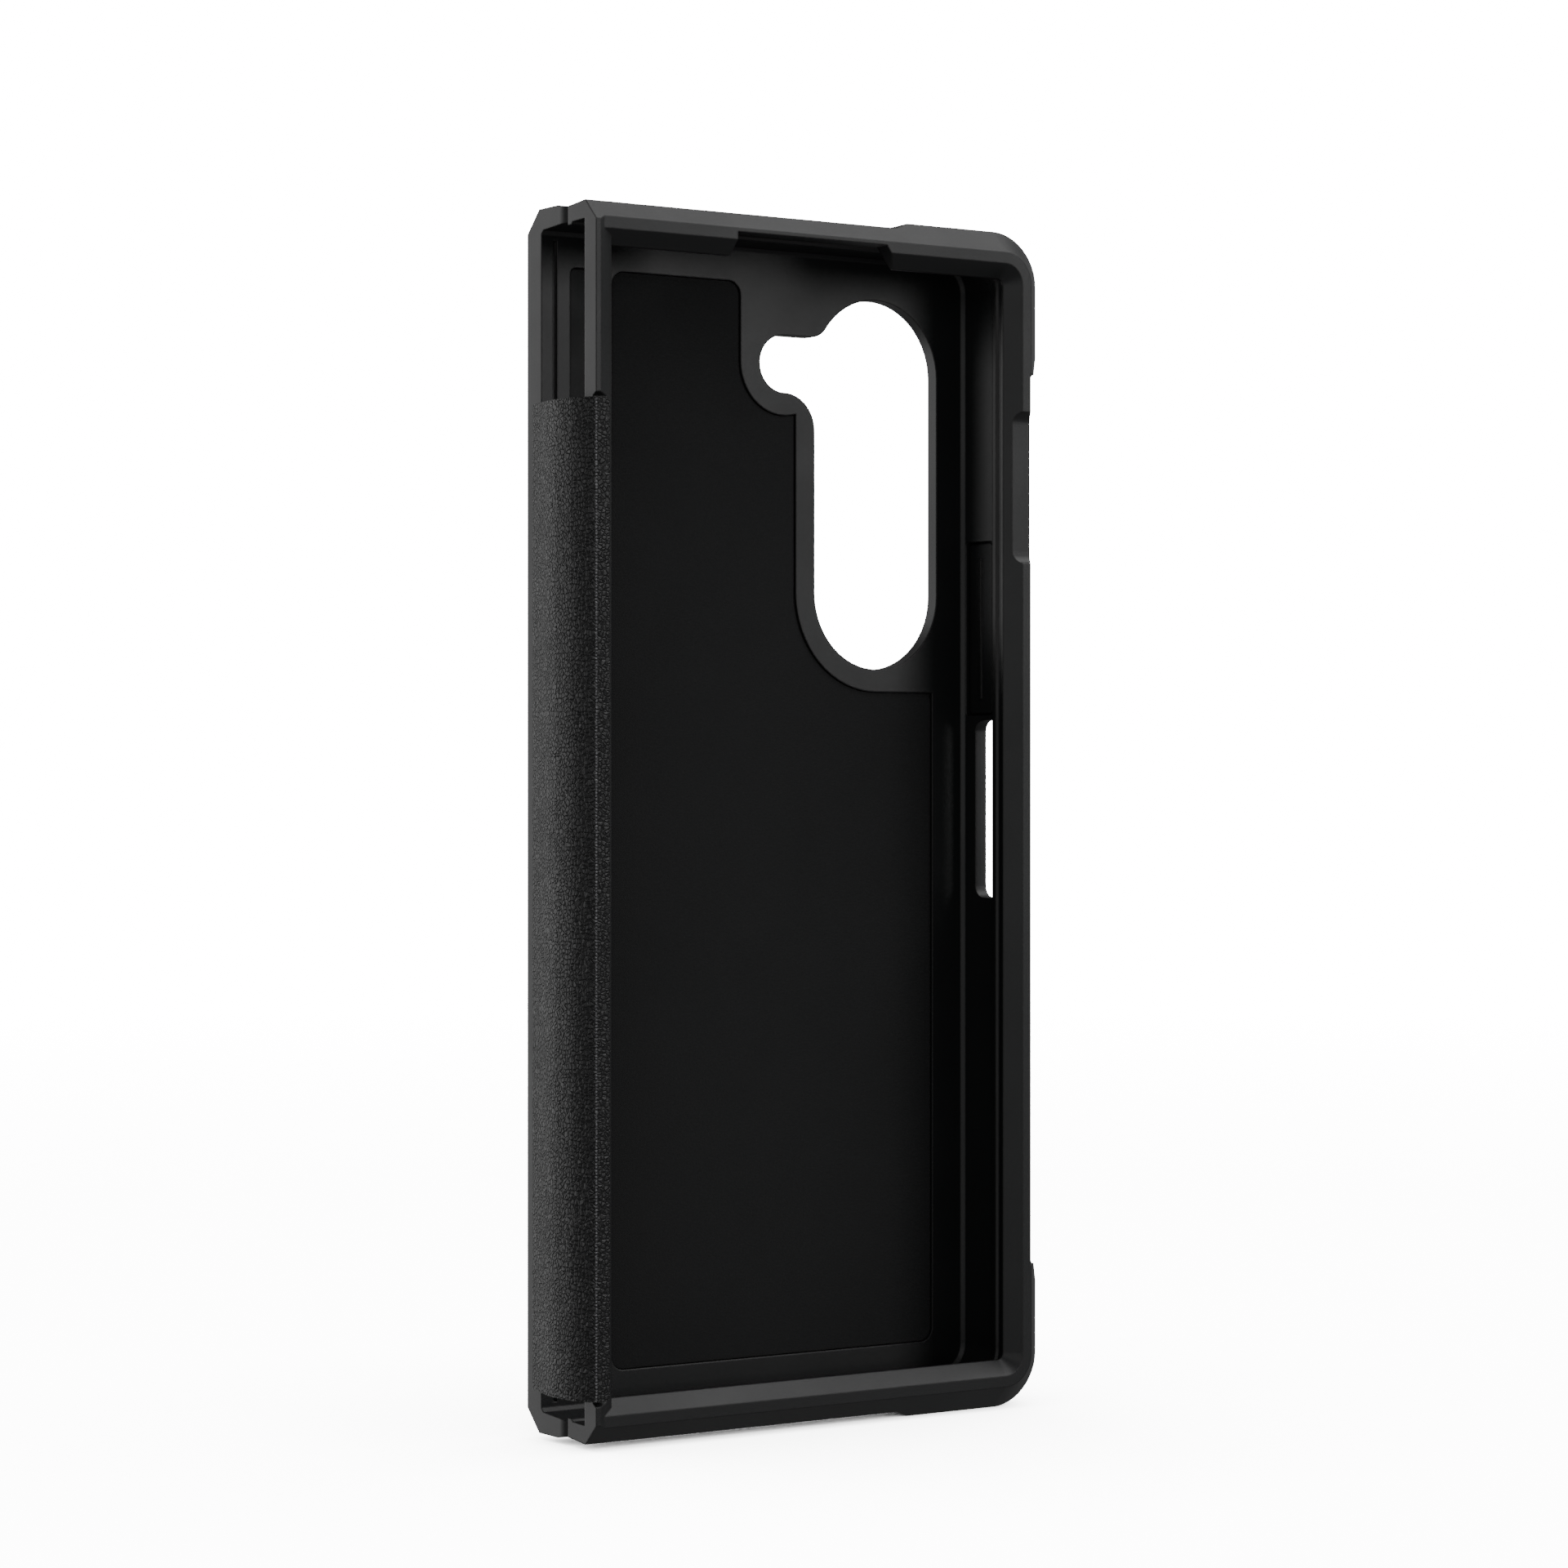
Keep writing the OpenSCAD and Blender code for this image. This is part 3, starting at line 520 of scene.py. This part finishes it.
def rubber_material(colours, colour, name, roughness):
    """Moulded silicone or rubber: a dull skin with a faint bloom and soft edges."""
    material, tree = new_material(name)
    place = add(tree, "ShaderNodeTexCoord")
    skin = add(tree, "ShaderNodeTexNoise", [("Vector", place, "Object")],
               Scale=1 / (0.35 * MM), Detail=4.0)
    bloom = add(tree, "ShaderNodeTexNoise", [("Vector", place, "Object")],
                Scale=1 / (6 * MM), Detail=2.0)
    soft = add(tree, "ShaderNodeBevel", samples=6, Radius=0.25 * MM)
    bump = add(tree, "ShaderNodeBump", [("Height", skin, "Fac"), ("Normal", soft, "Normal")],
               Strength=0.25, Distance=0.03 * MM)
    gloss = ramp(tree, bloom, "Fac", 0.3, 0.7, roughness - 0.05, roughness + 0.05)
    tone = blended(tree, bloom, "Fac", scaled(colour, 0.85), scaled(colour, 1.15))
    finish_material(tree, [("Normal", bump, "Normal"), ("Roughness", gloss, "Result"),
                           ("Base Color", tone, 2)], IOR=1.43)
    return material


def ring_material(colours):
    """Satin polycarbonate of the camera's trim ring, polished more than the shells."""
    material, tree = new_material("polycarbonate_satin_moulded")
    place = add(tree, "ShaderNodeTexCoord")
    swirl = add(tree, "ShaderNodeTexNoise", [("Vector", place, "Object")],
                Scale=1 / (1.5 * MM), Detail=5.0)
    soft = add(tree, "ShaderNodeBevel", samples=6, Radius=0.2 * MM)
    gloss = ramp(tree, swirl, "Fac", 0.3, 0.7, 0.22, 0.3)
    finish_material(tree, [("Normal", soft, "Normal"), ("Roughness", gloss, "Result")],
                    colours.shell, IOR=1.55)
    return material


def film_material(colours):
    """Double-sided adhesive film under its paper liner: pale, with pulp flecks."""
    material, tree = new_material("adhesive_film_kraft_liner")
    place = add(tree, "ShaderNodeTexCoord")
    pulp = add(tree, "ShaderNodeTexNoise", [("Vector", place, "Object")],
               Scale=1 / (0.5 * MM), Detail=6.0, Roughness=0.7)
    bump = add(tree, "ShaderNodeBump", [("Height", pulp, "Fac")], Strength=0.3,
               Distance=0.03 * MM)
    tone = blended(tree, pulp, "Fac", scaled(colours.film, 0.85), scaled(colours.film, 1.1))
    finish_material(tree, [("Normal", bump, "Normal"), ("Base Color", tone, 2)],
                    Roughness=0.5, IOR=1.46)
    return material


def dress(node, material):
    """Gives a CAD node its finish."""
    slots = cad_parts[node].data.materials
    slots.clear()
    slots.append(material)


# ---------------------------------------------------------------- operators


class PHONECASE_OT_shells(bpy.types.Operator):
    """Finishes the rear shell, the front frame and the camera's trim ring"""

    bl_idname = "phonecase.shells"
    bl_label = "Shells"

    def execute(self, context):
        colours = context.scene.case_colours
        shell = shell_material(colours)
        dress("rear_shell", shell)
        dress("front_frame", shell)
        dress("camera_ring", ring_material(colours))
        return {"FINISHED"}


class PHONECASE_OT_key_and_strips(bpy.types.Operator):
    """Finishes the volume key and the adhesive strips"""

    bl_idname = "phonecase.key_and_strips"
    bl_label = "Key and strips"

    def execute(self, context):
        colours = context.scene.case_colours
        dress("volume_key", rubber_material(colours, colours.key, "tpu_rubber_moulded", 0.5))
        film = film_material(colours)
        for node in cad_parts:
            if "adhesive" in node:
                dress(node, film)
        return {"FINISHED"}


class PHONECASE_OT_linings(bpy.types.Operator):
    """Makes the inner lining and the hinge pad with soft edges"""

    bl_idname = "phonecase.linings"
    bl_label = "Linings"

    def execute(self, context):
        scene = context.scene
        edge = scene.case_linings.edge / MM
        low, high = box_mm("inner_lining")
        lining = soft_panel("inner_lining_suede", lining_outline(), high[1], low[1], edge,
                            suede_material(scene.case_colours))
        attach(lining, "rear_tray")
        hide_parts("inner_lining")
        low, high = box_mm("hinge_pad")
        pad = soft_panel("hinge_pad_silicone", pad_outline(), high[1], low[1], edge,
                         rubber_material(scene.case_colours, scene.case_colours.pad,
                                         "silicone_moulded", 0.62))
        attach(pad, "rear_tray")
        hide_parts("hinge_pad")
        return {"FINISHED"}


class PHONECASE_OT_back_panel(bpy.types.Operator):
    """Makes the leather panel on the back with its turned edge"""

    bl_idname = "phonecase.back_panel"
    bl_label = "Back panel"

    def execute(self, context):
        scene = context.scene
        low, high = box_mm("leather_back_panel")
        leather = leather_material(scene.case_colours, scene.case_spine.grain, 0.9)
        panel = soft_panel("back_panel_leather", panel_outline(), low[1], high[1],
                           scene.case_linings.panel_edge / MM, leather)
        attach(panel, "rear_tray")
        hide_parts("leather_back_panel")
        return {"FINISHED"}


class PHONECASE_OT_spine(bpy.types.Operator):
    """Makes the leather spine, its root and its glued flap, with the cloth behind them"""

    bl_idname = "phonecase.spine"
    bl_label = "Leather spine"

    def execute(self, context):
        scene = context.scene
        sizes = scene.case_spine
        thick, cloth_t = sizes.leather / MM, sizes.lining / MM
        length = smooth_curve(spine_line(), 1600)[1][-1]
        fold = (length - (FLAP_HIGH[0] - X_END) - 0.05) * MM
        leather = leather_material(scene.case_colours, sizes.pore, 0.85, fold)
        cloth = cloth_material(scene.case_colours)
        shape = (sizes.grain / MM, sizes.relief / MM, sizes.corner / MM, 0.17, leather,
                 "spine_leather")
        plain = (1.0, 0.0, sizes.corner / MM, 0.5, cloth, "spine_lining")
        for part, tray, leaf, fold in (("rear", "rear_tray", "spine_leaf_rear", REAR_FOLD),
                                       ("front", "front_cover", "spine_leaf_front", FRONT_FOLD)):
            wrap, _ = spine_strip("spine_wrap_" + part, part, 0, thick, *shape)
            back, width = spine_strip("spine_cloth_" + part, part, thick, cloth_t, *plain)
            for piece in (wrap, back):
                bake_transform(piece)
            extra = "spine_root" if part == "rear" else "spine_flap"
            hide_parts("spine_leather_" + part, extra)
            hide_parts("spine_lining_" + part)
        return {"FINISHED"}


def at_end(u, v):
    """A point on the spine's section, in metres."""
    return ((X_END - u) * MM, (Y_FRONT + v) * MM, 0.07)


# Where the leather starts and ends its bend at its two glued roots.
REAR_FOLD = (at_end(0.1, 15.6), at_end(1.0, 13.2))
FRONT_FOLD = (at_end(0.0, 0.1), at_end(1.5, 2.3))


class PHONECASE_OT_studio(bpy.types.Operator):
    """Sets the floor, the soft lights and the camera"""

    bl_idname = "phonecase.studio"
    bl_label = "Studio"

    def execute(self, context):
        scene = context.scene
        studio_floor(scene.case_colours)
        studio_lights()
        studio_camera(scene)
        return {"FINISHED"}


def studio_floor(colours):
    """A round paper floor, flat to its rim; rings of points at radius r_i, all at z = 0.
    Past 0.35 m it thins out, so that no edge shows against the plain background."""
    turn = np.linspace(0, 2 * np.pi, 96, endpoint=False)
    radius = np.array([0.02, 0.2, 0.5, 1.0, 1.6])[:, None]
    verts = np.stack([radius * np.cos(turn), radius * np.sin(turn), 0 * radius * turn], -1)
    mesh = bpy.data.meshes.new("studio_floor")
    faces = ring_faces(5, 96)[:-1]
    mesh.from_pydata(verts.reshape(-1, 3).tolist(), [], faces)
    floor = bpy.data.objects.new("studio_floor", mesh)
    bpy.context.scene.collection.objects.link(floor)
    material, tree = new_material("matt_paper_backdrop")
    place = add(tree, "ShaderNodeTexCoord")
    reach = add(tree, "ShaderNodeVectorMath", [(0, place, "Object")], operation="LENGTH")
    fade = ramp(tree, reach, "Value", 0.35, 1.3, 0.0, 1.0)
    fibre = add(tree, "ShaderNodeTexNoise", [("Vector", place, "Object")],
                Scale=1 / (0.8 * MM), Detail=4.0)
    tone = blended(tree, fibre, "Fac", scaled(colours.floor, 0.99), scaled(colours.floor, 1.0))
    # Ambient occlusion darkens the floor's even glow near the case: a painted contact shadow.
    painted_contact_shadow = add(tree, "ShaderNodeAmbientOcclusion", [("Color", tone, 2)], samples=8,
                  Distance=0.09)
    paper = add(tree, "ShaderNodeBsdfDiffuse", [("Color", tone, 2)])
    glow = add(tree, "ShaderNodeEmission", [("Color", painted_contact_shadow, "Color")], Strength=14.0)
    lit = add(tree, "ShaderNodeAddShader", [(0, paper, 0), (1, glow, 0)])
    gap = add(tree, "ShaderNodeBsdfTransparent")
    mixed = add(tree, "ShaderNodeMixShader", [(0, fade, "Result"), (1, lit, 0), (2, gap, 0)])
    add(tree, "ShaderNodeOutputMaterial", [("Surface", mixed, 0)])
    mesh.materials.append(material)
    floor.visible_diffuse = floor.visible_glossy = False


def softbox(name, place, size, power, aim=(0.0, 0.0, 0.08)):
    """A rectangular area light at place, turned to face the aim."""
    light = bpy.data.lights.new(name, "AREA")
    light.shape, light.size, light.size_y = "RECTANGLE", size[0], size[1]
    light.energy = power
    lamp = bpy.data.objects.new(name, light)
    bpy.context.scene.collection.objects.link(lamp)
    lamp.location = place
    lamp.visible_camera = False
    way = np.array(aim) - np.array(place)
    lamp.rotation_euler = (math.atan2(math.hypot(way[0], way[1]), -way[2]), 0,
                           math.atan2(way[1], way[0]) - math.pi / 2)


def studio_lights():
    """A back-left box for the spine, a top box for the upper edges and three weak boxes.
    The plain background is white where it is seen, and dim where it lights the case."""
    softbox("softbox_back_left", (-0.50, 0.72, 0.15), (1.2, 0.9), 3.7)
    softbox("softbox_front_left", (-0.70, -0.66, 0.25), (0.7, 0.7), 1.0)
    softbox("softbox_top", (0.84, -0.44, 1.50), (1.6, 1.6), 17.0)
    softbox("softbox_front_right", (0.56, -0.90, 0.30), (0.5, 0.5), 1.8)
    softbox("softbox_right", (0.9, 0.1, 0.25), (0.5, 0.5), 0.3)
    world = bpy.data.worlds.new("studio_background")
    bpy.context.scene.world = world
    world.use_nodes = True
    tree = world.node_tree
    tree.nodes.clear()
    path = add(tree, "ShaderNodeLightPath")
    level = ramp(tree, path, "Is Camera Ray", 0.0, 1.0, 0.2, 18.0)
    plain = add(tree, "ShaderNodeBackground", [("Strength", level, "Result")],
                Color=(1, 1, 1, 1))
    add(tree, "ShaderNodeOutputWorld", [("Surface", plain, 0)])


def studio_camera(scene):
    """A 94 mm lens 0.55 m away, level, 34 degrees round towards the spine."""
    camera = bpy.data.cameras.new("studio_camera")
    camera.lens, camera.sensor_width = 94.38, 36.0
    camera.clip_start, camera.clip_end = 0.01, 20.0
    mount = bpy.data.objects.new("studio_camera", camera)
    scene.collection.objects.link(mount)
    mount.location = ((X_END - 275.72) * MM, (Y_FRONT - 448.34) * MM, 85.76 * MM)
    mount.rotation_euler = (math.radians(90), 0, math.radians(-34.208))
    scene.camera = mount


class PHONECASE_PT_sidebar(bpy.types.Panel):
    """Lists the pieces in the order that they are made"""

    bl_idname = "PHONECASE_PT_sidebar"
    bl_label = "Phone Case"
    bl_space_type = "VIEW_3D"
    bl_region_type = "UI"
    bl_category = "Phone Case"

    def draw(self, context):
        for group in ("case_spine", "case_linings", "case_colours"):
            values = getattr(context.scene, group)
            box = self.layout.box()
            for name in values.__annotations__:
                box.prop(values, name)
        for step in STEPS:
            self.layout.operator(step.bl_idname)


STEPS = (PHONECASE_OT_shells, PHONECASE_OT_key_and_strips, PHONECASE_OT_linings,
         PHONECASE_OT_back_panel, PHONECASE_OT_spine, PHONECASE_OT_studio)
GROUPS = {"case_spine": SpineSizes, "case_linings": LiningSizes, "case_colours": CaseColours}


def register():
    for kind in (*GROUPS.values(), *STEPS, PHONECASE_PT_sidebar):
        bpy.utils.register_class(kind)
    for name, kind in GROUPS.items():
        setattr(bpy.types.Scene, name, bpy.props.PointerProperty(type=kind))


def unregister():
    for name in GROUPS:
        delattr(bpy.types.Scene, name)
    for kind in reversed((*GROUPS.values(), *STEPS, PHONECASE_PT_sidebar)):
        bpy.utils.unregister_class(kind)


def main():
    register()
    bpy.ops.phonecase.shells()
    bpy.ops.phonecase.key_and_strips()
    bpy.ops.phonecase.linings()
    bpy.ops.phonecase.back_panel()
    bpy.ops.phonecase.spine()
    bpy.ops.phonecase.studio()


if __name__ == "__main__":
    main()
